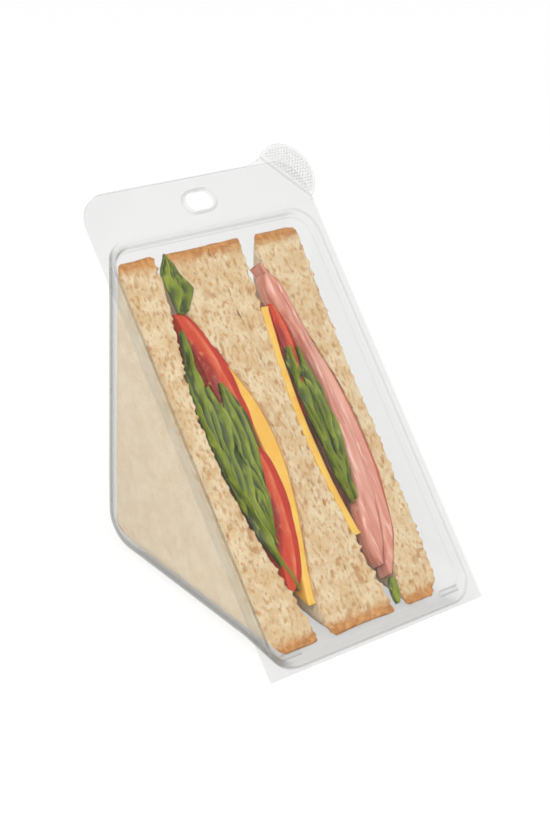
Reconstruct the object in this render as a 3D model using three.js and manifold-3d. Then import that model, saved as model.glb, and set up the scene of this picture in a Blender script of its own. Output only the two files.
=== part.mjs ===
// Sandwich wedge pack: a clear hinged tray and lid that hold two cut sandwiches of brown bread.
// Millimetres, +Z up. The pack stands on its hinge edge and its heel, window to the front (-Y).
import * as THREE from "three";
import Module from "manifold-3d";
import { mergeVertices } from "three/addons/utils/BufferGeometryUtils.js";

const wasm = await Module();
wasm.setup();

// Driving dimensions of the pack
const FLANGE_WIDTH = 92;
const FACE_LENGTH = 164;
const SHEET = 0.45;
const GAP = 0.3;
const HEEL_TO_WINDOW = THREE.MathUtils.degToRad(47.9);
const SIDE_FLANGE = 3.1;
const WALL_START = 1.0;
const WALL_END = 148;
const SIDE_DRAFT = Math.tan(THREE.MathUtils.degToRad(3));
const HEEL_RADIUS = 14;
const BACK_EDGE_RADIUS = 6.8;
const BASE_EDGE_RADIUS = 10;
const OPENING_CORNER = 8.5;
const CORNER_BLEND_DEPTH = 12;
const HEADER_CORNER = 10.5;
const HINGE_SETBACK = 0.2;

// Driving dimensions of the lid's details
const RECESS_DEPTH = 1.6;
const RECESS_DRAFT = 0.4;
const RECESS_TOP = 145.2;
const SLOT_LENGTH = 13;
const SLOT_HEIGHT = 7.8;
const SLOT_CENTRE = 155.4;
const COLLAR_WIDTH = 1.0;
const COLLAR_HEIGHT = 0.4;
const TAB_CENTRE = [39.5, 158.5];
const TAB_RADIUS = 11.4;
const CREASE = [[31.7, 164.7], [45.1, 149]];
const CREASE_RADIUS = 0.45;
const LUG = [8, 1.2, 0.8];
const LUG_CENTRE = [34.5, 6];

// Driving dimensions of the sandwiches, all measured in from the window's plane
const CUT_DEPTH = 3.2;
const BREAD_CLEARANCE = 0.6;
const BREAD_HEEL_RADIUS = 17;
const BREAD_TIP_RADIUS = 4;
const CRUST_ROUND = 1.6;
const FILL_CENTRE = 72;
const FILL_REACH = 76;
const LAYER_GAP = 0.6;
const CHEESE_THICKNESS = 2.6;
const HAM_THICKNESS = 2.8;
const LEAF_THICKNESS = 1.1;
const FRILL_DEPTH = 1.75;
const FRILL_END = 4.7;
const HAM_FRONT = 2.6;
const HAM_END = 9;
const HAM_FOLD_THICKNESS = 1.9;
const TOMATO_DEPTH = 5.1;
const TOMATO_EDGE = 1.2;

const halfWidth = FLANGE_WIDTH / 2;
const { sin, cos, sqrt, hypot, atan2, asin, tan, PI, min, max } = Math;

// Closed mesh to solid and back, for the joins and cuts
function solid(geometry) {
  const bare = geometry.clone();
  bare.deleteAttribute("normal");
  bare.deleteAttribute("uv");
  const merged = mergeVertices(bare, 1e-4);
  return new wasm.Manifold(new wasm.Mesh({
    numProp: 3,
    vertProperties: new Float32Array(merged.attributes.position.array),
    triVerts: new Uint32Array(merged.index.array),
  }));
}

function geometryOf(body) {
  const mesh = body.getMesh();
  const geometry = new THREE.BufferGeometry();
  geometry.setAttribute("position", new THREE.BufferAttribute(mesh.vertProperties, 3));
  geometry.setIndex(new THREE.BufferAttribute(mesh.triVerts, 1));
  geometry.computeVertexNormals();
  return geometry;
}

// A closed body through a stack of rings with equal point counts; the first and last rings are capped
function loft(rings) {
  const count = rings[0].length;
  const points = rings.flat();
  const faces = [];
  for (let r = 0; r + 1 < rings.length; r++) {
    for (let i = 0; i < count; i++) {
      const j = (i + 1) % count;
      const [a, b, c, d] = [r * count + i, r * count + j, (r + 1) * count + i, (r + 1) * count + j];
      faces.push(a, b, d, a, d, c);
    }
  }
  for (const [start, outward] of [[0, false], [(rings.length - 1) * count, true]]) {
    const ring = points.slice(start, start + count);
    const middle = points.length;
    points.push([0, 1, 2].map((axis) => ring.reduce((sum, p) => sum + p[axis], 0) / count));
    for (let i = 0; i < count; i++) {
      const j = (i + 1) % count;
      faces.push(...(outward ? [middle, start + i, start + j] : [middle, start + j, start + i]));
    }
  }
  const geometry = new THREE.BufferGeometry();
  geometry.setAttribute("position", new THREE.BufferAttribute(new Float32Array(points.flat()), 3));
  geometry.setIndex(faces);
  return geometry;
}

// A flat outline pushed from z = low to z = high
function plate(shape, low, high) {
  const geometry = new THREE.ExtrudeGeometry(shape, { depth: high - low, bevelEnabled: false, curveSegments: 10 });
  return geometry.translate(0, 0, low);
}

// A rectangle with elliptical corners, counter-clockwise from the right side's lower end
function roundedRing(half, low, high, lowCorner, highCorner, z, steps = 6) {
  const corners = [
    [half, high, 0, highCorner], [-half, high, 1, highCorner],
    [-half, low, 2, lowCorner], [half, low, 3, lowCorner],
  ];
  return corners.flatMap(([x, y, quarter, [rx, ry]]) => {
    const cx = x - Math.sign(x) * rx;
    const cy = quarter < 2 ? y - ry : y + ry;
    return Array.from({ length: steps + 1 }, (_, k) => {
      const angle = (quarter + k / steps) * PI / 2;
      return [cx + rx * cos(angle), cy + ry * sin(angle), z];
    });
  });
}

// The tray's wedge. Its section at a depth below the window is a rectangle between base and back wall
function wedgeRings(inset, top) {
  const slope = HEEL_TO_WINDOW;
  const back = WALL_END * cos(slope) - inset;
  const base = WALL_START * sin(slope) + inset;
  const heelRadius = HEEL_RADIUS - inset;
  const centreDepth = (back - heelRadius) * sin(slope) - (base + heelRadius) * cos(slope);
  const centreV = (back - heelRadius) * cos(slope) + (base + heelRadius) * sin(slope);
  const backEnd = centreDepth + heelRadius * sin(slope);
  const baseEnd = centreDepth + heelRadius * cos(slope);
  const arc = (depth) => sqrt(max(heelRadius ** 2 - (depth - centreDepth) ** 2, 0));
  const section = (depth) => {
    const onBack = (back - depth * sin(slope)) / cos(slope);
    const onBase = (base + depth * cos(slope)) / sin(slope);
    const high = depth < backEnd ? onBack : centreV + arc(depth);
    const low = depth < baseEnd ? onBase : centreV - arc(depth);
    const half = halfWidth - SIDE_FLANGE - inset - SIDE_DRAFT * max(depth, 0);
    const blend = min(max(depth, 0) / CORNER_BLEND_DEPTH, 1);
    const limit = (high - low) / 2.2;
    const corner = (radius, angle) => [
      min(OPENING_CORNER + (radius - OPENING_CORNER) * blend - inset, limit),
      min(OPENING_CORNER + (radius / sin(angle) - OPENING_CORNER) * blend - inset, limit),
    ];
    return roundedRing(half, low, high, corner(BASE_EDGE_RADIUS, slope),
      corner(BACK_EDGE_RADIUS, PI / 2 - slope), -depth);
  };
  const straight = [0, 0.25, 0.5, 1].map((f) => f * CORNER_BLEND_DEPTH);
  const toArc = [0.35, 0.7, 1].map((f) => CORNER_BLEND_DEPTH + f * (baseEnd - CORNER_BLEND_DEPTH));
  const around = [0.25, 0.5, 0.72, 0.88, 0.97].map((f) => {
    const start = asin((baseEnd - centreDepth) / heelRadius);
    return centreDepth + heelRadius * sin(start + f * (PI / 2 - start));
  });
  const depths = [...straight, ...toArc, ...around];
  return [...depths.reverse().map(section), ...(top > 0 ? [section(0).map(([x, y]) => [x, y, top])] : [])];
}

// The header's outline: square at the hinge edge, round at the top
function flangeShape(rightCorner) {
  const r = HEADER_CORNER;
  const shape = new THREE.Shape();
  shape.moveTo(-halfWidth, HINGE_SETBACK);
  shape.lineTo(halfWidth, HINGE_SETBACK);
  shape.lineTo(halfWidth, FACE_LENGTH - rightCorner);
  if (rightCorner > 0) {
    shape.absarc(halfWidth - rightCorner, FACE_LENGTH - rightCorner, rightCorner, 0, PI / 2, false);
  } else {
    shape.lineTo(halfWidth, FACE_LENGTH);
  }
  shape.lineTo(r - halfWidth, FACE_LENGTH);
  shape.absarc(r - halfWidth, FACE_LENGTH - r, r, PI / 2, PI, false);
  shape.lineTo(-halfWidth, HINGE_SETBACK);
  return shape;
}

function slotShape(grow) {
  const r = SLOT_HEIGHT / 2 + grow;
  const reach = (SLOT_LENGTH - SLOT_HEIGHT) / 2;
  const shape = new THREE.Shape();
  shape.absarc(reach, SLOT_CENTRE, r, -PI / 2, PI / 2, false);
  shape.absarc(-reach, SLOT_CENTRE, r, PI / 2, 3 * PI / 2, false);
  return shape;
}

function slotCut() {
  return solid(plate(slotShape(0), -10, 10));
}

// Tray: flange with header and hang slot, drafted side walls, back, base and rounded heel
function trayGeometry() {
  const outer = solid(loft(wedgeRings(0, 0)));
  const inner = solid(loft(wedgeRings(SHEET, 2 * SHEET)));
  const flange = solid(plate(flangeShape(HEADER_CORNER), -SHEET, 0));
  const collar = solid(plate(slotShape(COLLAR_WIDTH), -SHEET - COLLAR_HEIGHT, -SHEET / 2));
  return geometryOf(flange.add(outer).subtract(inner).add(collar).subtract(slotCut()));
}

// Lid: flange, recessed panel that sits in the tray's opening, peel tab with its crease
function recessRings(inset, top, bottom) {
  const side = halfWidth - SIDE_FLANGE - SHEET - GAP - inset;
  const low = WALL_START + (SHEET + GAP) / sin(HEEL_TO_WINDOW) + inset;
  const high = RECESS_TOP - inset;
  const corner = OPENING_CORNER - inset;
  const alongBase = (top - bottom) / tan(HEEL_TO_WINDOW);
  const ring = (shrink, lift, z) => {
    const r = corner - shrink;
    return roundedRing(side - shrink, low + lift, high - shrink, [r, r], [r, r], z);
  };
  return [ring(RECESS_DRAFT, alongBase, bottom), ring(0, 0, top)];
}

function cylinderBetween([x0, y0], [x1, y1], radius, z) {
  const length = hypot(x1 - x0, y1 - y0);
  const bar = new THREE.CylinderGeometry(radius, radius, length, 12);
  bar.rotateZ(atan2(y1 - y0, x1 - x0) - PI / 2);
  return bar.translate((x0 + x1) / 2, (y0 + y1) / 2, z);
}

function lidGeometry() {
  const under = GAP;
  const over = GAP + SHEET;
  const floor = over - RECESS_DEPTH;
  const flange = solid(plate(flangeShape(0), under, over));
  const beyond = new THREE.Shape([
    new THREE.Vector2(...CREASE[0]), new THREE.Vector2(...CREASE[1]),
    new THREE.Vector2(halfWidth + 20, CREASE[1][1]), new THREE.Vector2(halfWidth + 20, FACE_LENGTH + 20),
    new THREE.Vector2(CREASE[0][0], FACE_LENGTH + 20),
  ]);
  const disc = new THREE.CylinderGeometry(TAB_RADIUS, TAB_RADIUS, SHEET, 40).rotateX(PI / 2);
  const tab = solid(disc.translate(...TAB_CENTRE, under + SHEET / 2));
  const crease = solid(cylinderBetween(...CREASE, CREASE_RADIUS, over));
  const well = solid(loft(recessRings(0, over, floor - SHEET)));
  const hollow = solid(loft(recessRings(SHEET, over + SHEET, floor)));
  const collar = solid(plate(slotShape(COLLAR_WIDTH), over - SHEET / 2, over + COLLAR_HEIGHT));
  const lugs = [-1, 1].map((side) => {
    const lug = new THREE.BoxGeometry(...LUG);
    return solid(lug.translate(side * LUG_CENTRE[0], LUG_CENTRE[1], floor + LUG[2] / 2 - SHEET / 2));
  });
  const panel = flange.subtract(solid(plate(beyond, -1, 2))).add(tab).add(crease).add(well).subtract(hollow);
  return geometryOf(panel.add(lugs[0]).add(lugs[1]).add(collar).subtract(slotCut()));
}

// The filling pushes the slices apart most at the middle of the cut and not at all at the crusts.
// A face between two layers: where it lies at the foot, the middle and the top of the cut
function layerFace(foot, middle, top, centre = FILL_CENTRE) {
  return (v, w) => {
    const reach = min(hypot(v - centre, w) / FILL_REACH, 1);
    const atCrust = foot + (top - foot) * v / WALL_END;
    return atCrust + (middle - atCrust) * (1 - reach ** 2) ** 2 - halfWidth;
  };
}

// How far the tray's round edges push the outer slices in, at a point near the back wall or the base
function edgeRound(v, w) {
  const y = v * cos(HEEL_TO_WINDOW) - w * sin(HEEL_TO_WINDOW);
  const z = v * sin(HEEL_TO_WINDOW) + w * cos(HEEL_TO_WINDOW);
  const toBack = WALL_END * cos(HEEL_TO_WINDOW) - SHEET - y;
  const toBase = z - WALL_START * sin(HEEL_TO_WINDOW) - SHEET;
  const push = (radius, distance) => {
    const inside = max(radius - max(distance, 0), 0);
    return radius - sqrt(radius ** 2 - inside ** 2);
  };
  return push(BACK_EDGE_RADIUS, toBack) + push(BASE_EDGE_RADIUS, toBase);
}

const againstTray = (face, side) => (v, w) => {
  const draft = SIDE_DRAFT * max(-w - CUT_DEPTH, 0);
  return face(v, w) + side * (draft + edgeRound(v, w));
};
const shifted = (face, by) => (v, w) => face(v, w) + by;

const faces = {
  outerLeft: againstTray(layerFace(6.2, 5.6, 6.2), 1),
  leftInner: layerFace(24, 14.6, 22),
  leftOfMiddle: layerFace(30, 43, 28.6),
  joint: layerFace(45, 48.2, 44.2),
  rightOfMiddle: layerFace(58.8, 53.2, 58.2),
  rightInner: layerFace(62, 76.4, 64.6, 66),
  outerRight: againstTray(layerFace(79.6, 81, 83.6), -1),
};

// Half a slice seen from the side: the cut, two crusts at a right angle and a round heel crust
function breadOutline(shrink) {
  const slope = HEEL_TO_WINDOW;
  const clear = SHEET + BREAD_CLEARANCE + shrink;
  const back = WALL_END * cos(slope) - clear;
  const base = WALL_START * sin(slope) + clear;
  const r = BREAD_HEEL_RADIUS - shrink;
  const tip = BREAD_TIP_RADIUS;
  const toFace = (y, z) => [y * cos(slope) + z * sin(slope), z * cos(slope) - y * sin(slope)];
  const topTip = (back - CUT_DEPTH * sin(slope)) / cos(slope);
  const footTip = (base + CUT_DEPTH * cos(slope)) / sin(slope);
  const arc = (cx, cy, radius, from, to, steps) => Array.from({ length: steps + 1 }, (_, k) => {
    const angle = from + (to - from) * k / steps;
    return [cx + radius * cos(angle), cy + radius * sin(angle)];
  });
  const topAngle = PI / 2 - slope;
  const topArc = arc(topTip - tip / tan(topAngle / 2), -CUT_DEPTH - tip, tip, PI / 2, -slope, 4);
  const footArc = arc(footTip + tip / tan(slope / 2), -CUT_DEPTH - tip, tip, -PI / 2 - slope, -3 * PI / 2, 4);
  const heel = arc(back - r, base + r, r, 0, -PI / 2, 6).map(([y, z]) => toFace(y, z));
  const between = (a, b, steps) => Array.from({ length: steps }, (_, k) => {
    const f = (k + 1) / (steps + 1);
    return [a[0] + (b[0] - a[0]) * f, a[1] + (b[1] - a[1]) * f];
  });
  return [
    ...topArc, ...between(topArc.at(-1), heel[0], 6), ...heel, ...between(heel.at(-1), footArc[0], 6),
    ...footArc, ...between(footArc.at(-1), topArc[0], 12),
  ];
}

function counterClockwise(outline) {
  const area = outline.reduce((sum, [x, y], i) => {
    const [nextX, nextY] = outline[(i + 1) % outline.length];
    return sum + x * nextY - nextX * y;
  }, 0);
  return area > 0 ? outline : [...outline].reverse();
}

// A layer of the stack: an outline in the cut's own plane, closed between two faces
function layer(anyWay, left, right, round = 0, rims = [1, 0.85, 0.69, 0.52, 0.34, 0.16]) {
  const outline = counterClockwise(anyWay);
  const centre = [0, 1].map((axis) => outline.reduce((sum, p) => sum + p[axis], 0) / outline.length);
  const scaled = (f, inset) => outline.map(([v, w]) => {
    const onCut = w > -CUT_DEPTH - 0.01;
    const pull = onCut ? 0 : inset / hypot(v - centre[0], w - centre[1]);
    return [v + (centre[0] - v) * (1 - f + pull * f), w + (centre[1] - w) * (1 - f + pull * f)];
  });
  const ring = (f, face, inset, share) => scaled(f, inset).map(([v, w]) => {
    const other = face === left ? right : left;
    return [face(v, w) * (1 - share) + other(v, w) * share, v, w];
  });
  const reversed = [...rims].reverse();
  return loft([
    ...reversed.map((f) => ring(f, left, round, 0)),
    ...(round > 0 ? [ring(1, left, round * 0.3, 0.12), ring(1, left, 0, 0.3), ring(1, right, 0, 0.3),
      ring(1, right, round * 0.3, 0.12)] : []),
    ...rims.map((f) => ring(f, right, round, 0)),
  ]);
}

function slice(left, right) {
  return layer(breadOutline(0), shifted(left, GAP / 2), shifted(right, -GAP / 2), CRUST_ROUND);
}

// Half of a thin square sheet cut on the diagonal, lying along a face of the bread
function sheetAlong(face, near, far, low, high, depth) {
  const front = -CUT_DEPTH - 0.2;
  const corners = [[high, front], [high - depth, front - depth], [low + depth, front - depth], [low, front]];
  const outline = corners.flatMap(([v, w], i) => {
    const [nextV, nextW] = corners[(i + 1) % corners.length];
    return Array.from({ length: 8 }, (_, k) => [v + (nextV - v) * k / 8, w + (nextW - w) * k / 8]);
  });
  const [left, right] = near < far ? [near, far] : [far, near];
  return layer(outline, shifted(face, left), shifted(face, right));
}

// Tomato: a thick end slice, flat on the left and domed skin on the right, halved by the cut
function tomato(x, lean, centre, radius, height) {
  const outline = [];
  for (let k = 0; k <= 16; k++) {
    const angle = -PI * k / 16;
    outline.push([centre + radius * cos(angle), -TOMATO_DEPTH + radius * sin(angle)]);
  }
  for (let k = 1; k < 8; k++) {
    outline.push([centre - radius + 2 * radius * k / 8, -TOMATO_DEPTH]);
  }
  const flat = (v) => x - halfWidth + lean * (v - centre);
  const dome = (v, w) => {
    const out = min(hypot(v - centre, w + TOMATO_DEPTH) / radius, 1);
    return flat(v) + TOMATO_EDGE + (height - TOMATO_EDGE) * sqrt(1 - out ** 2);
  };
  return layer(outline, flat, dome, 0, [1, 0.9, 0.7, 0.45, 0.2]);
}

// A leaf or a slice of ham seen on edge: a band along a curve, pushed from one depth to another
function band(points, thickness, front, back, steps) {
  const curve = new THREE.CatmullRomCurve3(points.map(([x, v]) => new THREE.Vector3(x - halfWidth, v, 0)));
  const spine = curve.getSpacedPoints(steps);
  const side = (sign) => spine.map((p, i) => {
    const t = curve.getTangentAt(i / steps);
    const half = thickness / 2 * min(1, 0.35 + 3 * min(i, steps - i) / steps);
    return new THREE.Vector2(p.x - sign * t.y * half, p.y + sign * t.x * half);
  });
  return plate(new THREE.Shape([...side(1), ...side(-1).reverse()]), -back, -front);
}

function joined(first, second) {
  return geometryOf(solid(first).add(solid(second)));
}

function material(color, roughness, opacity = 1) {
  return new THREE.MeshStandardMaterial({
    color, roughness, metalness: 0, transparent: opacity < 1, opacity, side: THREE.FrontSide,
  });
}

const clear = () => material(0xe9ece8, 0.08, 0.25);
const bread = () => material(0xd9bb8a, 0.9);
const red = () => material(0xc63a22, 0.3);
const yellow = () => material(0xeeb544, 0.45);
const green = () => material(0x6d9a2a, 0.5);
const pink = () => material(0xd9938c, 0.45);

const pieces = [
  ["tray", trayGeometry(), clear()],
  ["lid", lidGeometry(), clear()],
  ["bread_left_outer", slice(faces.outerLeft, faces.leftInner), bread()],
  ["bread_left_inner", slice(faces.leftOfMiddle, faces.joint), bread()],
  ["bread_right_inner", slice(faces.joint, faces.rightOfMiddle), bread()],
  ["bread_right_outer", slice(faces.rightInner, faces.outerRight), bread()],
  ["cheese_left", sheetAlong(faces.leftOfMiddle, -LAYER_GAP, -LAYER_GAP - CHEESE_THICKNESS, 20, 118, 32), yellow()],
  ["cheese_right", sheetAlong(faces.rightOfMiddle, LAYER_GAP, LAYER_GAP + CHEESE_THICKNESS, 34, 116, 32), yellow()],
  ["tomato_left_upper", tomato(25, -0.128, 97, 24, 10.7), red()],
  ["tomato_left_lower", tomato(25.6, 0.13, 48.6, 23, 10.4), red()],
  ["tomato_right", tomato(59.2, 0.05, 97, 20, 6), red()],
  ["lettuce_left_outer", joined(band([[20.5, 114], [18.4, 104], [16.8, 92], [15.8, 80], [16.4, 68],
    [18, 56], [20.4, 46], [24, 34]], LEAF_THICKNESS, FRILL_DEPTH, FRILL_END, 40),
  sheetAlong(faces.leftInner, LAYER_GAP, LAYER_GAP + LEAF_THICKNESS, 30, 112, 34)), green()],
  ["lettuce_left_middle", band([[23.2, 92], [21, 86], [20.2, 80], [22.5, 74], [20.5, 67], [22.6, 60],
    [21.4, 53], [22.8, 47]], LEAF_THICKNESS, FRILL_DEPTH, FRILL_END, 40), green()],
  ["lettuce_left_inner", band([[25.4, 94], [29.6, 90.5], [31.6, 84], [28.4, 78], [30, 71], [26.4, 64],
    [27.4, 56], [24.6, 49]], LEAF_THICKNESS, FRILL_DEPTH, FRILL_END, 40), green()],
  ["lettuce_left_tip", band([[26.4, 139], [23.6, 135.6], [25.6, 131], [29, 127.4], [24.6, 123.6]],
    LEAF_THICKNESS, FRILL_DEPTH, FRILL_END, 20), green()],
  ["lettuce_right_outer", band([[58.4, 101], [60.6, 97], [58.4, 90], [60.4, 82], [59, 73], [61, 64],
    [59.6, 55], [60.2, 46]], LEAF_THICKNESS, FRILL_DEPTH, FRILL_END, 40), green()],
  ["lettuce_right_inner", band([[62.6, 99], [64, 93], [62.8, 86], [64.8, 79], [63, 70], [64.4, 62],
    [62.6, 54], [62.8, 48]], LEAF_THICKNESS, FRILL_DEPTH, FRILL_END, 40), green()],
  ["lettuce_right_foot", band([[62.4, 17], [60.8, 14], [62.6, 11], [61, 8.6]], LEAF_THICKNESS, FRILL_DEPTH,
    FRILL_END, 16), green()],
  ["ham_outer", joined(band([[62, 129], [65, 121.5], [67.8, 108], [70.8, 90], [72.2, 72], [72.6, 56],
    [71.6, 42], [68.6, 30], [64.6, 22.4]], HAM_THICKNESS, HAM_FRONT, HAM_END, 40),
  sheetAlong(faces.rightInner, -LAYER_GAP, -LAYER_GAP - HAM_THICKNESS, 26, 122, 34)), pink()],
  ["ham_inner", band([[66.4, 104], [67.4, 94], [68.6, 84], [68.8, 72], [68.4, 58], [66, 46], [63.4, 37],
    [62.8, 30], [63.6, 25.4]], HAM_FOLD_THICKNESS, HAM_FRONT, HAM_END, 40), pink()],
];

// The row frame: the pack tips forward until hinge edge and heel touch the same floor
const heelCentre = {
  v: (WALL_END * cos(HEEL_TO_WINDOW) - HEEL_RADIUS) * cos(HEEL_TO_WINDOW)
    + (WALL_START * sin(HEEL_TO_WINDOW) + HEEL_RADIUS) * sin(HEEL_TO_WINDOW) - HINGE_SETBACK,
  depth: (WALL_END * cos(HEEL_TO_WINDOW) - HEEL_RADIUS) * sin(HEEL_TO_WINDOW)
    - (WALL_START * sin(HEEL_TO_WINDOW) + HEEL_RADIUS) * cos(HEEL_TO_WINDOW) - SHEET,
};
const restSlope = atan2(heelCentre.depth, heelCentre.v)
  + asin(HEEL_RADIUS / hypot(heelCentre.v, heelCentre.depth));

const face = new THREE.Group();
face.rotation.x = restSlope;
for (const [name, geometry, look] of pieces) {
  const mesh = new THREE.Mesh(geometry, look);
  mesh.name = name;
  face.add(mesh);
}

const pack = new THREE.Group();
pack.add(face);
pack.updateMatrixWorld(true);
const box = new THREE.Box3().setFromObject(pack, true);
face.position.set(-(box.min.x + box.max.x) / 2, -(box.min.y + box.max.y) / 2, -box.min.z);

export default pack;
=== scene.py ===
import math

import bpy
import numpy as np
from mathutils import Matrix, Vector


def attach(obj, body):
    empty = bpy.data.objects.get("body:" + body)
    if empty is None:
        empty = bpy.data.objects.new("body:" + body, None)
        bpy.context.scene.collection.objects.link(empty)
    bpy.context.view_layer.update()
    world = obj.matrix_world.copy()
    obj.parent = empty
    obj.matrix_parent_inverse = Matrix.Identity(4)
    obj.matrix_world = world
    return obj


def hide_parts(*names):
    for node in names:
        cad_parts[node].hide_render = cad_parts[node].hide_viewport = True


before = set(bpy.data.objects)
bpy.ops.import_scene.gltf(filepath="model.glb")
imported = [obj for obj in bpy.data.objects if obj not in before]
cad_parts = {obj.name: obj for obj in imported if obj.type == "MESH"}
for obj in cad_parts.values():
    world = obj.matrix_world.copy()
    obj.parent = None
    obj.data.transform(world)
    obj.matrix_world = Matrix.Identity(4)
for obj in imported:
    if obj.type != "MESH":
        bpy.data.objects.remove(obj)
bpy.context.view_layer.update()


# Camera, placed as the photograph was taken: from the left, above the pack and slightly rolled.
# The picture is 825 pixels high and the camera is 1851 pixels of that size from its picture.
camera_place = (-0.369578, -0.403412, 0.319844)
camera_back = np.array([-0.604372, -0.667578, 0.434827])
camera_up = np.array([0.228902, 0.377271, 0.897369])
PICTURE_HEIGHT = 825
FOCAL_PIXELS = 1851
SENSOR_LONG_SIDE = 36.0

camera = bpy.data.objects.new("camera", bpy.data.cameras.new("camera"))
camera.data.sensor_width = SENSOR_LONG_SIDE
camera.data.lens = FOCAL_PIXELS / PICTURE_HEIGHT * SENSOR_LONG_SIDE
turned = np.eye(4)
turned[:3, 0] = np.cross(camera_up, camera_back)
turned[:3, 1] = camera_up
turned[:3, 2] = camera_back
turned[:3, 3] = camera_place
camera.matrix_world = turned.T.tolist()
bpy.context.scene.collection.objects.link(camera)
bpy.context.scene.camera = camera
bpy.context.scene.view_settings.view_transform = "Standard"
bpy.context.scene.cycles.transparent_max_bounces = 32


# Studio: a plain pale floor and backdrop in one, with soft light from above on the left, a fill on
# the right and a low lamp for the side wall. What the camera and gloss see round the pack is white.
FLOOR_REACH = 6.0
SKY_STRENGTH = 0.62
PACK_MIDDLE = (0, 0, 0.06)


class Value:
    """A number from one socket of a material, so that shader maths reads as plain sums."""

    def __init__(self, finish, socket):
        self.finish = finish
        self.socket = socket

    def sum(self, operation, first, second):
        return self.finish.node("Math", {"operation": operation}, {0: first, 1: second})

    def __add__(self, other):
        return self.sum("ADD", self, other)

    def __sub__(self, other):
        return self.sum("SUBTRACT", self, other)

    def __rsub__(self, other):
        return self.sum("SUBTRACT", other, self)

    def __mul__(self, other):
        return self.sum("MULTIPLY", self, other)

    def __pow__(self, other):
        return self.sum("POWER", self, other)

    def above(self, low, high):
        """0 up to low, 1 from high, and a smooth step between them."""
        inputs = {"Value": self, "From Min": low, "From Max": high}
        return self.finish.node("MapRange", {"interpolation_type": "SMOOTHSTEP"}, inputs)

    __radd__ = __add__
    __rmul__ = __mul__


class Finish:
    """One material, or the sky round the pack, built node by node."""

    def __init__(self, name, kind=bpy.data.materials):
        self.owner = kind.new(name)
        self.owner.use_nodes = True
        self.tree = self.owner.node_tree
        self.tree.nodes.clear()

    def node(self, kind, settings=None, inputs=None, out=0):
        """Adds a node: its settings first, then the values or links of its sockets."""
        made = self.tree.nodes.new("ShaderNode" + kind)
        for name, setting in (settings or {}).items():
            setattr(made, name, setting)
        for name, value in (inputs or {}).items():
            if isinstance(value, Value):
                self.tree.links.new(value.socket, made.inputs[name])
            else:
                made.inputs[name].default_value = value
        return Value(self, made.outputs[out]) if made.outputs else None

    def mix(self, share, first, second):
        """The first colour at share 0 and the second at share 1."""
        return self.node("Mix", {"data_type": "RGBA"}, {0: share, 6: first, 7: second}, 2)

    def window_millimetres(self, stretch=(1, 1, 1)):
        """Object coordinates in millimetres, turned to lie along the window, divided by stretch."""
        place = self.node("TexCoord", out="Object")
        upright = self.node("Mapping", {}, {"Vector": place, "Rotation": (-REST_SLOPE, 0, 0)})
        sizes = tuple(1 / MM / share for share in stretch)
        return self.node("Mapping", {}, {"Vector": upright, "Scale": sizes})

    def noise(self, place, scale, detail=3.0, roughness=0.5):
        """Smooth random values round 0.5, with finer ones added for each level of detail."""
        inputs = {"Vector": place, "Scale": scale, "Detail": detail, "Roughness": roughness}
        return self.node("TexNoise", {}, inputs)

    def mark(self, name):
        """A piece's own measure at each point."""
        return self.node("Attribute", {"attribute_name": name}, {}, "Fac")

    def bump(self, height, strength, distance):
        """A normal tilted by the slope of a height."""
        inputs = {"Height": height, "Strength": strength, "Distance": distance}
        return self.node("Bump", {}, inputs)

    def surface(self, shader, end="OutputMaterial"):
        """Joins a shader to the output and gives back the finished material or sky."""
        self.node(end, {}, {"Surface": shader})
        return self.owner


floor_mesh = bpy.data.meshes.new("floor")
floor_corners = [(-1, -1), (1, -1), (1, 1), (-1, 1)]
floor_points = [(x * FLOOR_REACH, y * FLOOR_REACH, 0) for x, y in floor_corners]
floor_mesh.from_pydata(floor_points, [], [(0, 1, 2, 3)])
floor = bpy.data.objects.new("floor", floor_mesh)
bpy.context.scene.collection.objects.link(floor)
pale = Finish("pale_floor")
seen = pale.node("LightPath", out="Is Camera Ray") + pale.node("LightPath", out="Is Glossy Ray")
glow = pale.mix(seen, (0, 0, 0, 1), (0.78, 0.78, 0.78, 1))
lit = pale.mix(seen, (0.88, 0.88, 0.88, 1), (0.2, 0.2, 0.2, 1))
floor_mesh.materials.append(pale.surface(pale.node("BsdfPrincipled", {}, {
    "Base Color": lit, "Roughness": 0.9, "Emission Color": glow, "Emission Strength": 1.0,
})))

sky = Finish("studio", bpy.data.worlds)
showing = sky.node("LightPath", out="Is Camera Ray") + sky.node("LightPath", out="Is Glossy Ray")
strength = SKY_STRENGTH + (1 - SKY_STRENGTH) * showing
backdrop = sky.node("Background", {}, {"Color": (1, 1, 1, 1), "Strength": strength})
bpy.context.scene.world = sky.surface(backdrop, "OutputWorld")


def soft_lamp(name, place, size, power):
    """A square lamp that faces the middle of the pack."""
    lamp = bpy.data.objects.new(name, bpy.data.lights.new(name, "AREA"))
    lamp.data.size = size
    lamp.data.energy = power
    lamp.location = place
    towards = Vector(PACK_MIDDLE) - lamp.location
    lamp.rotation_euler = towards.to_track_quat("-Z", "Y").to_euler()
    bpy.context.scene.collection.objects.link(lamp)


soft_lamp("key_lamp", (-0.75, -0.65, 0.9), 0.7, 11.5)
soft_lamp("fill_lamp", (0.9, -0.5, 0.7), 0.8, 3.0)
soft_lamp("side_lamp", (-1.1, 0.1, 0.5), 0.7, 3.5)


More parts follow.
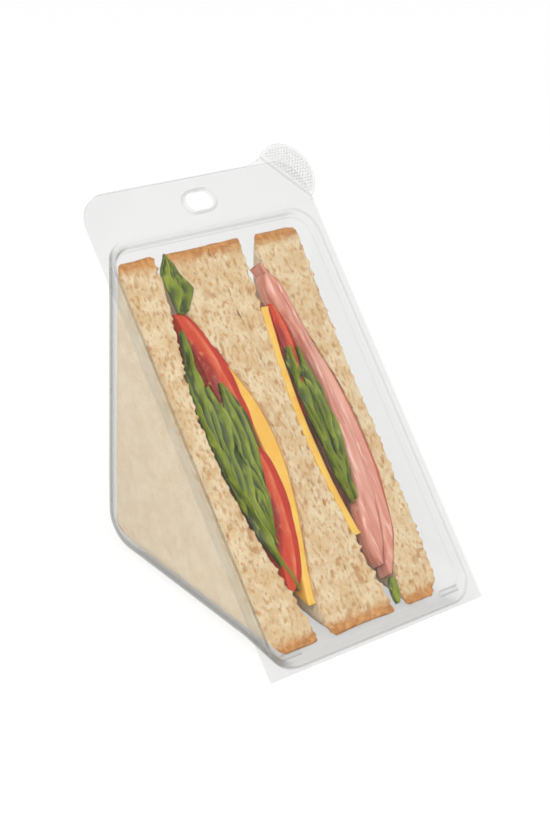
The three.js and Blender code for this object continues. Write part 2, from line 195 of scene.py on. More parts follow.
# Bread: four half slices of soft brown bread, cut with a saw blade from corner to corner.
# Each is pressed against its neighbours, so its faces curve round the filling. The pack rests on
# its fold and its heel, so the slices lean back behind the window.
MM = 0.001
REST_SLOPE = math.radians(47.2953)
FOLD_MIDDLE = np.array([-2.45, -57.29677, 0.158227])
FLANGE_WIDTH = 92.0
FACE_LENGTH = 164.0
HALF_WIDTH = FLANGE_WIDTH / 2
SHEET = 0.45
LEAN = math.radians(47.9)
SIN, COS, TAN = math.sin(LEAN), math.cos(LEAN), math.tan(LEAN)
WALL_START, WALL_END = 1.0, 148.0
CUT_DEPTH = 3.2
LATTICE_SIZE = 4096
LATTICE_STEPS = (73856093, 19349663, 83492791)


def standing(x, v, w):
    """Window millimetres (across, up and outwards) turned by the rest slope about the fold, in metres."""
    x, v, w = np.broadcast_arrays(x, v, w)
    y = v * math.cos(REST_SLOPE) - w * math.sin(REST_SLOPE)
    z = v * math.sin(REST_SLOPE) + w * math.cos(REST_SLOPE)
    return (np.stack([x, y, z], -1) + FOLD_MIDDLE) * MM


def lumps(points, size, seed):
    """Smooth random heights from -1 to 1: random numbers on a lattice, blended with a smoothstep."""
    place = points / np.asarray(size, float)
    cell = np.floor(place).astype(np.int64)
    share = place - cell
    share = share * share * (3 - 2 * share)
    table = np.random.default_rng(seed).uniform(-1, 1, LATTICE_SIZE)
    total = np.zeros(points.shape[:-1])
    for corner in np.ndindex(2, 2, 2):
        near = np.where(corner, share, 1 - share).prod(-1)
        key = ((cell + corner) * LATTICE_STEPS).sum(-1) % LATTICE_SIZE
        total += near * table[key]
    return total


def grid_faces(rows, columns, closed):
    """Four-sided faces between neighbouring rows; closed joins the last column to the first."""
    index = np.arange(rows * columns).reshape(rows, columns)
    if closed:
        index = np.concatenate([index, index[:, :1]], 1)
    corners = [index[:-1, :-1], index[:-1, 1:], index[1:, 1:], index[1:, :-1]]
    return np.stack(corners, -1).reshape(-1, 4)


def make_mesh(name, points, quads, triangles=np.zeros((0, 3), int)):
    """A smooth mesh of four- and three-sided faces, put in as whole arrays."""
    mesh = bpy.data.meshes.new(name)
    mesh.vertices.add(len(points))
    mesh.vertices.foreach_set("co", points.astype(np.float32).ravel())
    corners = np.concatenate([quads.ravel(), triangles.ravel()]).astype(np.int32)
    mesh.loops.add(len(corners))
    mesh.loops.foreach_set("vertex_index", corners)
    starts = np.concatenate([np.arange(len(quads)) * 4, len(quads) * 4 + np.arange(len(triangles)) * 3])
    mesh.polygons.add(len(starts))
    mesh.polygons.foreach_set("loop_start", starts.astype(np.int32))
    mesh.polygons.foreach_set("use_smooth", np.ones(len(starts), bool))
    mesh.update(calc_edges=True)
    mesh.validate()
    return mesh


def outward(points):
    """Unit normals of a grid of rings: each ring's step along crossed with its step round."""
    along = np.gradient(points, axis=0)
    around = np.roll(points, -1, 1) - np.roll(points, 1, 1)
    normal = np.cross(along, around)
    normal /= np.linalg.norm(normal, axis=-1, keepdims=True) + 1e-12
    from_middle = points - points.mean(1, keepdims=True)
    return normal * np.sign((normal * from_middle).sum())


def add_piece(name, mesh, material, body, nodes):
    """Puts a finished mesh in the scene, riding on its body in place of its solids."""
    mesh.materials.append(material)
    piece = bpy.data.objects.new(name + "_piece", mesh)
    bpy.context.scene.collection.objects.link(piece)
    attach(piece, body)
    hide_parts(*nodes)
    return piece


def food(name, points, marks, material):
    """A closed piece of food from a grid of rings in window millimetres, with marks at each point."""
    rows, columns = points.shape[:2]
    ends = points[[0, -1]].mean(1)
    flat = np.concatenate([points.reshape(-1, 3), ends])
    quads = grid_faces(rows, columns, True)
    ring = np.arange(columns)
    after = np.roll(ring, -1)
    first, last = rows * columns, rows * columns + 1
    start_cap = np.stack([np.full(columns, first), after, ring], -1)
    last_row = (rows - 1) * columns
    end_cap = np.stack([np.full(columns, last), last_row + ring, last_row + after], -1)
    triangles = np.concatenate([start_cap, end_cap])
    a, b, c = (flat[quads[:, k]] - flat.mean(0) for k in (0, 1, 2))
    if (a * np.cross(b, c)).sum() < 0:
        quads, triangles = quads[:, ::-1], triangles[:, ::-1]
    mesh = make_mesh(name, standing(*flat.T), quads, triangles)
    for mark, values in marks.items():
        whole = np.concatenate([values.ravel(), values[[0, -1]].mean(1)])
        mesh.attributes.new(mark, "FLOAT", "POINT").data.foreach_set("value", whole.astype(np.float32))
    return add_piece(name, mesh, material, "tray", [name])


BREAD_CLEAR = SHEET + 0.6
HEEL_CRUST_RADIUS = 17.0
TIP_RADIUS = 1.0
BULGE_REACH = 76.0
BASE_EDGE_RADIUS, BACK_EDGE_RADIUS = 10.0, 6.8
BACK_LINE = WALL_END * COS - BREAD_CLEAR
BASE_LINE = WALL_START * SIN + BREAD_CLEAR
SIDE_DRAFT = math.tan(math.radians(3))


def pressed(foot, middle, top, centre=72.0, below=BULGE_REACH, above=BULGE_REACH):
    """A face of the stack: from foot to top along the crust, bulging to middle round the filling."""
    def face(v, w):
        reach = np.where(v > centre, above, below)
        share = np.minimum(np.hypot((v - centre) / reach, w / BULGE_REACH), 1)
        at_crust = foot + (top - foot) * v / WALL_END
        return at_crust + (middle - at_crust) * (1 - share**2) ** 2 - HALF_WIDTH
    return face


def crust_distance(v, w):
    """How far inside the back wall, the base and the round heel a point lies."""
    to_back = BACK_LINE - (v * COS - w * SIN)
    to_base = (v * SIN + w * COS) - BASE_LINE
    past_back = np.maximum(HEEL_CRUST_RADIUS - to_back, 0)
    past_base = np.maximum(HEEL_CRUST_RADIUS - to_base, 0)
    in_heel = HEEL_CRUST_RADIUS - np.hypot(past_back, past_base)
    return np.minimum(np.minimum(to_back, to_base), in_heel)


def against_tray(face, side):
    """A face that lies along the tray's side wall and its round edges."""
    def push(radius, distance):
        inside = np.clip(radius - np.maximum(distance, 0), 0, radius)
        return radius - np.sqrt(radius**2 - inside**2)

    def pushed(v, w):
        to_back = WALL_END * COS - SHEET - (v * COS - w * SIN)
        to_base = (v * SIN + w * COS) - WALL_START * SIN - SHEET
        draft = SIDE_DRAFT * np.maximum(-w - CUT_DEPTH, 0)
        inwards = draft + push(BACK_EDGE_RADIUS, to_back) + push(BASE_EDGE_RADIUS, to_base)
        return face(v, w) + side * inwards
    return pushed


def round_crust(face, side, radius):
    """A face that turns in to the crust with a round edge."""
    def turned(v, w):
        inside = np.clip(radius - np.maximum(crust_distance(v, w), 0), 0, radius)
        return face(v, w) + side * (radius - np.sqrt(radius**2 - inside**2)) * 0.8
    return turned


outer_left = against_tray(pressed(6.2, 5.6, 6.2), 1)
left_inner = pressed(25.5, 14.6, 22, centre=80, above=60)
left_of_middle = pressed(30, 41.5, 24.5, below=66, above=56)
left_of_joint = pressed(45.1, 48.3, 44.3)
right_of_joint = pressed(44.9, 48.1, 44.1)
right_of_middle = pressed(58.8, 51.6, 58.2)
right_inner = pressed(62, 75.4, 62.6, centre=66, below=64)
outer_right = against_tray(pressed(79.6, 81, 83.6), -1)


def arc_points(centre, radius, start, end, steps=12):
    """Points on an arc, evenly spaced from the start angle to the end angle."""
    angle = np.linspace(start, end, steps)
    return np.stack([centre[0] + radius * np.cos(angle), centre[1] + radius * np.sin(angle)])


tip_depth = -CUT_DEPTH - TIP_RADIUS
top_corner = (BACK_LINE - CUT_DEPTH * SIN) / COS
foot_corner = (BASE_LINE + CUT_DEPTH * COS) / SIN
top_tip = (top_corner - TIP_RADIUS / math.tan((math.pi / 2 - LEAN) / 2), tip_depth)
foot_tip = (foot_corner + TIP_RADIUS / math.tan(LEAN / 2), tip_depth)
heel_y, heel_z = arc_points((BACK_LINE - HEEL_CRUST_RADIUS, BASE_LINE + HEEL_CRUST_RADIUS),
                            HEEL_CRUST_RADIUS, -math.pi / 2, 0, 30)
crust_line = np.concatenate([
    arc_points(foot_tip, TIP_RADIUS, math.pi, 1.5 * math.pi - LEAN),
    np.stack([heel_y * COS + heel_z * SIN, heel_z * COS - heel_y * SIN]),
    arc_points(top_tip, TIP_RADIUS, -LEAN, 0),
], 1)


def rings(left, right, v, front, back, front_round, back_round, across, deep, arc=5):
    """One ring for each place v: a box from left to right and front to back, with round corners."""
    v, front, back = (np.broadcast_to(a, v.shape)[:, None].astype(float) for a in (v, front, back))
    half_way = (front + back) / 2
    width = right(v, half_way) - left(v, half_way)
    depth = np.maximum(front - back, 0.05)
    least = np.minimum(width, depth) / 2.2
    r, b = np.minimum(front_round, least), np.minimum(back_round, least)
    t = np.linspace(0, 1, across, endpoint=False)[None]
    s = np.linspace(0, 1, deep, endpoint=False)[None]
    angle = np.linspace(0, math.pi / 2, arc, endpoint=False)[None]
    sin, cos = np.sin(angle), np.cos(angle)
    nothing = np.zeros_like(width)
    from_left = [
        r + (width - 2 * r) * t, width - r + r * sin, width + nothing * s, width - b + b * cos,
        width - b - (width - 2 * b) * t, b - b * sin, nothing * s, r - r * cos,
    ]
    from_front = [
        nothing * t, r - r * cos, r + (depth - r - b) * s, depth - b + b * sin,
        depth + nothing * t, depth - b + b * cos, depth - b - (depth - r - b) * s, r - r * sin,
    ]
    share = np.concatenate(from_left, 1) / width
    deepness = np.concatenate(from_front, 1)
    w = front - deepness
    v = np.broadcast_to(v, w.shape)
    x = left(v, w) + (right(v, w) - left(v, w)) * share
    return np.stack([x, v, w], -1), share, deepness


def spread(low, high, count, ends=0.3):
    """Places from low to high, closer together near both ends."""
    even = np.linspace(0, 1, count)
    return low + (high - low) * ((1 - ends) * even + ends * (1 - np.cos(math.pi * even)) / 2)


def slice_of_bread(name, left, right, teeth, seed):
    """A half slice: rings up the cut, then pores, sawn edges and the crust's wrinkles as heights."""
    v = spread(foot_tip[0] - TIP_RADIUS + 0.02, top_tip[0] + TIP_RADIUS - 0.02, 280)
    to_tip = np.maximum(np.maximum(foot_tip[0] - v, v - top_tip[0]), 0)
    front = tip_depth + np.sqrt(np.maximum(TIP_RADIUS**2 - to_tip**2, 0))
    back = np.interp(v, crust_line[0], crust_line[1])
    points, share, deepness = rings(left, right, v, front, back, 0.3, 1.0, 30, 40)
    inside = np.maximum(crust_distance(points[..., 1], points[..., 2]), 0)
    crumb = np.clip(inside / 2.0 - 0.4, 0, 1)
    on_cut = np.exp(-((deepness / 1.2) ** 2))
    pores = np.maximum(lumps(points, (1.3, 1.7, 1.3), seed) - 0.22, 0)
    pores += 0.7 * np.maximum(lumps(points, (2.4, 3.2, 2.4), seed + 1) - 0.45, 0)
    at_edges = teeth[0] * np.exp(-share * 16) + teeth[1] * np.exp(-(1 - share) * 16)
    sawn = lumps(points, (1.2, 1.15, 1.2), seed + 2) * at_edges
    height = -1.2 * pores * crumb * (0.15 + 0.85 * on_cut) + 0.85 * sawn * on_cut
    height += 0.12 * lumps(points, 0.75, seed + 3) * crumb + 0.2 * lumps(points, 5.0, seed + 4)
    height += (1 - crumb) * 0.1 * lumps(points, (1.4, 1.4, 1.4), seed + 5)
    points = points + outward(points) * (height - 0.12)[..., None]
    crust = np.clip(1 - inside / (2.8 + 3.0 * on_cut), 0, 1)
    # The pore mark carries painted shade: it marks the pores of the cut face to be coloured darker.
    marks = {"crust": crust, "on_cut": on_cut, "pore_shade": pores * on_cut}
    return food(name, points, marks, bread_finish)


def paint(red, green, blue):
    """A colour as the eye reads it, 0 to 255, made the linear colour that a material takes."""
    share = np.array([red, green, blue]) / 255
    linear = np.where(share <= 0.04045, share / 12.92, ((share + 0.055) / 1.055) ** 2.4)
    return (*linear.tolist(), 1.0)


bread = Finish("brown_bread")
grain = bread.window_millimetres()
fibres = bread.window_millimetres((1.0, 2.2, 1.0))
coarse = bread.noise(grain, 0.16, 4.0, 0.6)
flecks = bread.noise(fibres, 0.85, 4.0, 0.6).above(0.5, 0.66)
bran = bread.noise(grain, 1.7, 2.0, 0.5).above(0.66, 0.76)
crumb_colour = bread.mix(coarse.above(0.35, 0.65), paint(240, 220, 182), paint(226, 194, 146))
on_cut_face = bread.mark("on_cut")
# Painted light: away from the cut face the slices' faces are painted paler, as if lit more strongly.
crumb_colour = bread.mix((1 - on_cut_face) * 0.5, crumb_colour, paint(246, 234, 212))
crumb_colour = bread.mix(flecks * (0.12 + 0.68 * on_cut_face), crumb_colour, paint(204, 148, 90))
crumb_colour = bread.mix(bran * (0.2 + 0.55 * on_cut_face), crumb_colour, paint(180, 114, 58))
# Painted shade: a darker brown in the pores of the cut face, where shade falls in the hollows.
crumb_colour = bread.mix(bread.mark("pore_shade").above(0.05, 0.5) * 0.7, crumb_colour, paint(192, 140, 86))
browning = bread.noise(grain, 0.55, 5.0, 0.7).above(0.3, 0.7)
baked = bread.mix(browning, paint(182, 112, 48), paint(228, 168, 98))
rim = (bread.mark("crust") + (bread.noise(grain, 0.5, 4.0, 0.6) - 0.5) * 0.5).above(0.14, 0.62)
bread_height = bread.noise(grain, 1.3, 5.0, 0.65) + bread.noise(fibres, 0.7, 3.0, 0.5) * 0.8
bread_finish = bread.surface(bread.node("BsdfPrincipled", {}, {
    "Base Color": bread.mix(rim, crumb_colour, baked), "Roughness": 0.85,
    "Subsurface Weight": 0.12, "Subsurface Radius": (0.004, 0.0025, 0.0015), "Subsurface Scale": 0.5,
    "Normal": bread.bump(bread_height, 0.7, 0.0008),
}))

slice_of_bread("bread_left_outer", outer_left, round_crust(left_inner, -1, 2.5), (0, 1), 11)
slice_of_bread("bread_left_inner", round_crust(left_of_middle, 1, 6.5),
               round_crust(left_of_joint, -1, 1.2), (1, 0.1), 23)
slice_of_bread("bread_right_inner", round_crust(right_of_joint, 1, 1.2),
               round_crust(right_of_middle, -1, 2.5), (0.1, 1), 37)
slice_of_bread("bread_right_outer", round_crust(right_inner, 1, 6.5), outer_right, (1, 1), 51)


# Cheese: two square slices of mild yellow cheese, cut across with the sandwich.
# Each is 2.6 mm thick, waxy and bent along the face of the bread that it lies on.
LAYER_GAP = 0.6
CHEESE_THICKNESS = 2.6


def cheese_slice(name, face, near, far, low, high, front, swell, seed):
    """Half of a thin square slice along a face of the bread; where it is free it bends to the left."""
    def left(v, w):
        return face(v, w) + near - swell * np.exp(-(((v - 74) / 15) ** 2) - ((w + CUT_DEPTH) / 7) ** 2)

    v = spread(low + 0.1, high - 0.1, 150)
    back = front - 0.4 - np.minimum(np.minimum(v - low, high - v), 32)
    points = rings(left, lambda v, w: face(v, w) + far, v, front, back, 0.9, 0.45, 12, 40)[0]
    height = 0.14 * lumps(points, 9.0, seed) + 0.03 * lumps(points, 1.6, seed + 1)
    return food(name, points + outward(points) * height[..., None], {}, cheese_finish)


cheese = Finish("mild_cheese")
wax = cheese.window_millimetres()
cloud = cheese.noise(wax, 0.12, 3.0, 0.5)
cheese_finish = cheese.surface(cheese.node("BsdfPrincipled", {}, {
    "Base Color": cheese.mix(cloud.above(0.3, 0.7), paint(250, 198, 84), paint(244, 182, 62)),
    "Roughness": 0.42, "Subsurface Weight": 0.35, "Subsurface Radius": (0.008, 0.004, 0.001),
    "Subsurface Scale": 0.6, "Normal": cheese.bump(cheese.noise(wax, 2.2, 4.0, 0.6), 0.2, 0.0003),
}))

cheese_slice("cheese_left", left_of_middle, -LAYER_GAP - CHEESE_THICKNESS, -0.1, 18, 119, -4.0, 3.4, 61)
cheese_slice("cheese_right", right_of_middle, 0.1, LAYER_GAP + CHEESE_THICKNESS, 34, 116, -3.3, 0, 67)


# Tomato: three thick slices, halved by the cut. Each is flat on the left and domed with skin on
# the right, and its cut face shows the firm wall, a paler flesh and dark wet seed chambers.
TOMATO_EDGE = 1.2


def tomato_slice(name, across, lean, centre, radius, height, front, seed):
    """Rings up the half disc; the cut face swells at the flesh and turns back at the skin."""
    def flat(v, w):
        return across - HALF_WIDTH + lean * (v - centre)

    def dome(v, w):
        out = np.minimum(np.hypot(v - centre, w - front) / radius, 1)
        return flat(v, w) + TOMATO_EDGE + (height - TOMATO_EDGE) * np.sqrt(1 - out**2)

    v = centre + radius * np.sin(np.linspace(-1, 1, 130) * 0.995 * math.pi / 2)
    back = front - np.sqrt(np.maximum(radius**2 - (v - centre) ** 2, 0.04))
    points, share, deepness = rings(flat, dome, v, front, back, 0.3, 0.3, 44, 50)
    on_cut = np.exp(-((deepness / 1.5) ** 2))
    width = dome(v, front) - flat(v, front)
    swell = np.sin(np.clip(share, 0, 1) * math.pi * 0.8 + 0.5) * 0.9
    swell -= 1.3 * np.clip(share - 0.6, 0, 1) ** 1.5 * 3
    swell *= (width / height)[:, None]
    off_middle = np.abs(v - centre) / radius
    chamber = np.clip(1 - share / 0.42, 0, 1) ** 0.6
    chamber = chamber * np.clip(1.15 - off_middle * 1.35, 0, 1)[:, None]
    chamber = np.clip(chamber + 0.35 * lumps(points, (2.5, 5, 2.5), seed), 0, 1)
    points[..., 2] += on_cut * (swell - 1.3 * chamber + 0.1 * lumps(points, 2.2, seed + 1))
    skin = np.maximum(np.clip((share - 0.54) / 0.06, 0, 1), np.clip((deepness - 1.2) * (share > 0.5), 0, 1))
    marks = {"skin": skin, "chamber": chamber * on_cut, "inward": 1 - share}
    return food(name, points, marks, tomato_finish)


tomato = Finish("ripe_tomato")
juice = tomato.window_millimetres((1.0, 3.0, 1.0))
streaks = tomato.noise(juice, 0.5, 4.0, 0.6)
pale_flesh = tomato.mix(streaks.above(0.35, 0.7), paint(218, 90, 46), paint(230, 138, 92))
flesh = tomato.mix(tomato.mark("inward").above(0.4, 0.7), pale_flesh, paint(202, 62, 32))
seeds = tomato.noise(tomato.window_millimetres(), 0.55, 2.0, 0.5).above(0.58, 0.66)
gel = tomato.mix(seeds, paint(150, 30, 14), paint(214, 138, 90))
wet = tomato.mark("chamber").above(0.25, 0.55)
ripeness = tomato.noise(juice, 0.2, 3.0, 0.5).above(0.3, 0.7)
skin_colour = tomato.mix(ripeness, paint(204, 44, 22), paint(188, 32, 18))
cut_colour = tomato.mix(wet, flesh, gel)
tomato_finish = tomato.surface(tomato.node("BsdfPrincipled", {}, {
    "Base Color": tomato.mix(tomato.mark("skin"), cut_colour, skin_colour),
    "Roughness": 0.42 - 0.08 * wet, "Specular IOR Level": 0.25,
    "Subsurface Weight": 0.12, "Subsurface Radius": (0.005, 0.0012, 0.0008), "Subsurface Scale": 0.5,
    "Normal": tomato.bump(streaks + tomato.noise(juice, 2.0, 3.0, 0.6) * 0.3, 0.25, 0.0004),
}))

tomato_slice("tomato_left_upper", 25, -0.128, 97, 24, 10.7, -3.9, 71)
tomato_slice("tomato_left_lower", 25.6, 0.13, 48.6, 24.5, 11.4, -3.9, 75)
tomato_slice("tomato_right", 59.2, 0.05, 97, 20, 6, -5.1, 79)


# Ham: two soft slices of cooked ham, folded so that their bends face the window side by side.
# The outer one carries on down between the bread and the rest, and has a thin roasted rind.
HAM_HALF_THICKNESS = 1.4
HAM_NEAREST_WINDOW = -1.45


def path(places):
    """A smooth line across the pack through places (across, up), read by how far up the window."""
    across, up = np.array(sorted(places, key=lambda p: p[1]), float).T
    fine = np.linspace(up[0], up[-1], 200)
    straight = np.interp(fine, up, across)
    kernel = np.hanning(25) / np.hanning(25).sum()
    padded = np.concatenate([np.full(12, straight[0]), straight, np.full(12, straight[-1])])
    smooth = np.convolve(padded, kernel, "valid")
    return lambda v: np.interp(v, fine, smooth) - HALF_WIDTH


def folded_ham(name, left, right, front, back_of, behind, seed):
    """A rounded fold between two edges; deeper in, it runs over to the face that it lies on."""
    left_edge, right_edge = path(left), path(right)
    low, high = min(p[1] for p in left + right), max(p[1] for p in left + right)

    def side(sign):
        def edge(v, w):
            over = np.clip((-w - 5.5) / 6, 0, 1) ** 2 * behind
            closing = np.clip(np.minimum(v - low, high - v) / 6, 0.02, 1) ** 0.5
            middle, half = (left_edge(v) + right_edge(v)) / 2, (right_edge(v) - left_edge(v)) / 2
            bend = middle + sign * half * closing
            rest = right_inner(v, w) - LAYER_GAP - HAM_HALF_THICKNESS + sign * HAM_HALF_THICKNESS
            return bend + (rest - bend) * over
        return edge

    v = spread(low + 0.05, high - 0.05, 170)
    points, share, deepness = rings(side(-1), side(1), v, front, back_of(v), 2.2, 0.6, 16, 36, 10)
    creases = lumps(points, (2.2, 26, 2.2), seed) * 0.36 + lumps(points, (1.0, 9, 1.0), seed + 1) * 0.1
    points = points + outward(points) * (creases - 0.15)[..., None]
    points[..., 2] = np.minimum(points[..., 2], HAM_NEAREST_WINDOW)
    rind = np.clip((share - 0.66) / 0.1, 0, 1) * behind
    marks = {"rind": rind, "fold": np.exp(-((deepness / 2.0) ** 2))}
    return food(name, points, marks, ham_finish)


ham = Finish("cooked_ham")
along_ham = ham.window_millimetres((1.0, 14.0, 1.0))
muscle = ham.noise(along_ham, 0.45, 4.0, 0.6)
pinks = ham.mix(muscle.above(0.35, 0.65), paint(228, 168, 148), paint(208, 134, 114))
# Painted highlight: pale streaks along the ham stand in for its sheen.
pinks = ham.mix(ham.noise(along_ham, 1.1, 3.0, 0.5).above(0.56, 0.7) * 0.8, pinks, paint(244, 206, 188))
ham_finish = ham.surface(ham.node("BsdfPrincipled", {}, {
    "Base Color": ham.mix(ham.mark("rind"), pinks, paint(196, 84, 40)),
    "Roughness": 0.36, "Coat Weight": 0.15, "Coat Roughness": 0.2, "Specular IOR Level": 0.3,
    "Subsurface Weight": 0.25, "Subsurface Radius": (0.005, 0.002, 0.0015), "Subsurface Scale": 0.5,
    "Normal": ham.bump(muscle + ham.noise(along_ham, 2.4, 3.0, 0.6) * 0.4, 0.3, 0.0004),
}))

outer_fold_left = [(60.6, 130), (65.0, 120), (66.6, 109), (69.4, 89), (70.0, 69), (69.6, 55),
                   (68.8, 45), (67.4, 36), (65.0, 28), (59.6, 18)]
outer_fold_right = [(62.0, 131), (67.2, 122.5), (69.0, 108), (72.5, 89), (74.6, 74), (75.0, 55),
                    (73.4, 42), (71.2, 30), (63.6, 18)]
inner_fold_left = [(60.0, 127), (60.6, 118), (64.7, 109), (66.7, 89), (66.2, 69), (64.4, 55),
                   (61.4, 45), (58.8, 35), (58.4, 22)]
inner_fold_right = [(63.4, 127), (66.0, 118), (67.6, 109), (70.2, 89), (70.8, 69), (70.4, 55),
                    (69.2, 45), (66.8, 35), (62.0, 22)]
folded_ham("ham_outer", outer_fold_left, outer_fold_right, -2.2,
           lambda v: -9 - np.clip(np.minimum(v - 26, 122 - v), 0, 28), 1, 83)
folded_ham("ham_inner", inner_fold_left, inner_fold_right, -1.8,
           lambda v: np.full_like(v, -8.5), 0, 87)


# Lettuce: curly leaves tucked beside the tomato, pleated where the lid presses them.
# Their crests carry a painted highlight in pale green, and the folds between them painted shade in dark
# green.
LEAF_STEP, LEAF_COLUMNS = 0.6, 52
LEAF_THICKNESS = 0.55


def leaf(name, left, right, folds, crest, valley, seed, turn=0.0, crisp=0.3, foot=5):
    """A pleated leaf between two edges given as (across, up): rounded crests and sharp valleys."""
    left_edge, right_edge = path(left), path(right)
    low = min(p[1] for p in left + right)
    high = max(p[1] for p in left + right)
    up = np.linspace(0, 1, int((high - low) / LEAF_STEP) + 8)[:, None]
    across = np.linspace(0, 1, LEAF_COLUMNS)[None]
    v = low + (high - low) * up + 0 * across
    flat = np.stack([across * 12 + 0 * up, v, np.zeros_like(v)], -1)
    wander = 0.45 * lumps(flat, (30, 17, 30), seed) + 0.2 * lumps(flat, (5, 7, 5), seed + 1)
    phase = across * folds + turn * up + wander * min(folds, 3)
    cycle = phase % 1
    pleat = cycle**1.4 * np.clip((1 - cycle) / 0.14, 0, 1)
    ruffle = lumps(flat, (3.2, 5.5, 3.2), seed + 2)
    closing = np.minimum(1, np.minimum(up * foot, (1 - up) * 5)) ** 0.6
    middle = (left_edge(v) + right_edge(v)) / 2
    half = (right_edge(v) - left_edge(v)) / 2 * (0.06 + 0.94 * closing)
    x = middle + half * (2 * across - 1) + 0.55 * lumps(flat, (3.5, 6, 3.5), seed + 3)
    edge = np.minimum(across, 1 - across) * 2
    w = valley + (crest - valley) * np.clip(pleat * (0.45 + 0.55 * np.minimum(edge * 3, 1)), 0, 1)
    w = np.minimum(w + crisp * ruffle, crest + 0.35)
    points = np.stack([x, v, w], -1)
    under = points.copy()
    under[..., 2] -= LEAF_THICKNESS
    loop = np.concatenate([points, under[:, ::-1]], 1)
    shade = np.clip((w - valley) / (crest - valley), 0, 1)
    # The crest mark goes from 0 in the valleys to 1 on the crests. The underside gets 0.6 of it, which is
    # painted shade under the leaf.
    marks = {"crest": np.concatenate([shade, shade[:, ::-1] * 0.6], 1)}
    return food(name, loop, marks, lettuce_finish)


lettuce = Finish("leaf_lettuce")
leafy = lettuce.window_millimetres((1.0, 2.5, 1.0))
veins = lettuce.noise(leafy, 0.55, 5.0, 0.65)
# Painted shade: dark green in the valleys between the pleats, turning brighter towards the crests.
fold_shade_green = lettuce.mix(lettuce.mark("crest").above(0.05, 0.65), paint(46, 62, 4), paint(120, 136, 16))
bright_green = lettuce.mix(veins.above(0.5, 0.66) * 0.7, fold_shade_green, paint(156, 168, 36))
# Painted highlight: pale yellow-green on the tops of the crests.
leaf_colour = lettuce.mix(lettuce.mark("crest").above(0.7, 0.97) * 0.8, bright_green, paint(190, 196, 76))
lettuce_finish = lettuce.surface(lettuce.node("BsdfPrincipled", {}, {
    "Base Color": leaf_colour, "Roughness": 0.42, "Specular IOR Level": 0.3,
    "Subsurface Weight": 0.15, "Subsurface Radius": (0.0015, 0.003, 0.0006), "Subsurface Scale": 0.4,
    "Normal": lettuce.bump(veins + lettuce.noise(leafy, 2.0, 3.0, 0.6) * 0.4, 0.45, 0.0005),
}))

leaf("lettuce_left_outer",
     [(20.6, 115), (17.0, 100), (15.2, 85), (16, 75), (17.4, 60), (19.4, 48), (22.8, 34), (25, 24)],
     [(23.6, 115), (22.6, 103), (22.4, 92), (21.4, 80), (21.6, 66), (22.6, 52), (25.4, 38), (28, 26)],
     1.7, -1.9, -5.2, 101, turn=0.5, crisp=0.25)
leaf("lettuce_left_middle", [(19.6, 95), (19.4, 84), (19.2, 72), (19.6, 60), (21.4, 48), (23.4, 40)],
     [(24.6, 95), (26.2, 86), (26.6, 74), (26.0, 62), (25.2, 50), (25.6, 42)],
     2.2, -1.75, -3.6, 103, turn=-0.4, crisp=0.25)
leaf("lettuce_left_inner", [(24.0, 95), (24.6, 84), (24.4, 72), (23.8, 60), (23.4, 48), (23.6, 43)],
     [(30.4, 95), (33.2, 82), (31.4, 71), (29.6, 60), (27.4, 50), (25.6, 43)],
     3.2, -1.65, -2.9, 107, turn=0.6, crisp=0.2)
leaf("lettuce_left_tip", [(25.0, 141), (21.6, 134.6), (22.2, 128), (22.0, 120)],
     [(27.0, 141), (29.0, 134), (32.4, 127.6), (26.6, 120)], 1.6, -1.8, -2.8, 109, crisp=0.15, foot=40)
leaf("lettuce_right_outer", [(57.4, 101), (56.8, 88), (57.2, 76), (57.4, 64), (57.8, 52), (58.6, 44.5)],
     [(61.8, 101), (61.4, 88), (62.4, 76), (61.8, 64), (61.2, 52), (60.6, 44.5)],
     1.6, -1.9, -4.8, 113, turn=0.9)
leaf("lettuce_right_inner", [(61.2, 100), (61.0, 88), (61.6, 77), (61.2, 65), (60.6, 54), (60.4, 45.5)],
     [(64.4, 100), (65.2, 90), (66.2, 79), (66.0, 66), (63.8, 54), (61.8, 45.5)],
     2.0, -1.7, -3.6, 117, turn=-0.8)
leaf("lettuce_right_foot", [(61.2, 17.4), (60.2, 13), (60.4, 8.4)], [(63.4, 17.4), (63.6, 13), (61.6, 8.4)],
     0.8, -2.0, -4.2, 119)


# Tray: a wedge with drafted side walls, a round heel and a flange all round, carried on at the top
# as the header with its hang slot. Like the lid it is formed from one clear sheet, 0.45 mm thick
# and faintly tinted: nearly invisible face on, and grey and bright where it is seen edge on.
clear = Finish("clear_plastic")
grazing = clear.node("LayerWeight", {}, {"Blend": 0.5}, "Facing")
haze = clear.node("BsdfPrincipled", {}, {
    "Base Color": paint(104, 106, 98), "Roughness": 0.35, "Specular IOR Level": 0.0,
    "Alpha": 0.05 + 0.95 * grazing**3.5,
})
gloss = clear.node("BsdfGlossy", {}, {"Color": (1, 1, 1, 1), "Roughness": 0.06})
clear_finish = clear.surface(clear.node("MixShader", {}, {0: 0.004 + 0.7 * grazing**5.0, 1: haze, 2: gloss}))

SIDE_FLANGE = 3.1
HINGE_SETBACK = 0.2
HEADER_CORNER = 10.5
SLOT_CENTRE = 155.4
SLOT_REACH, SLOT_RADIUS = 2.6, 3.9
SLOT_LIP = 0.4
OPENING_CORNER = 8.5


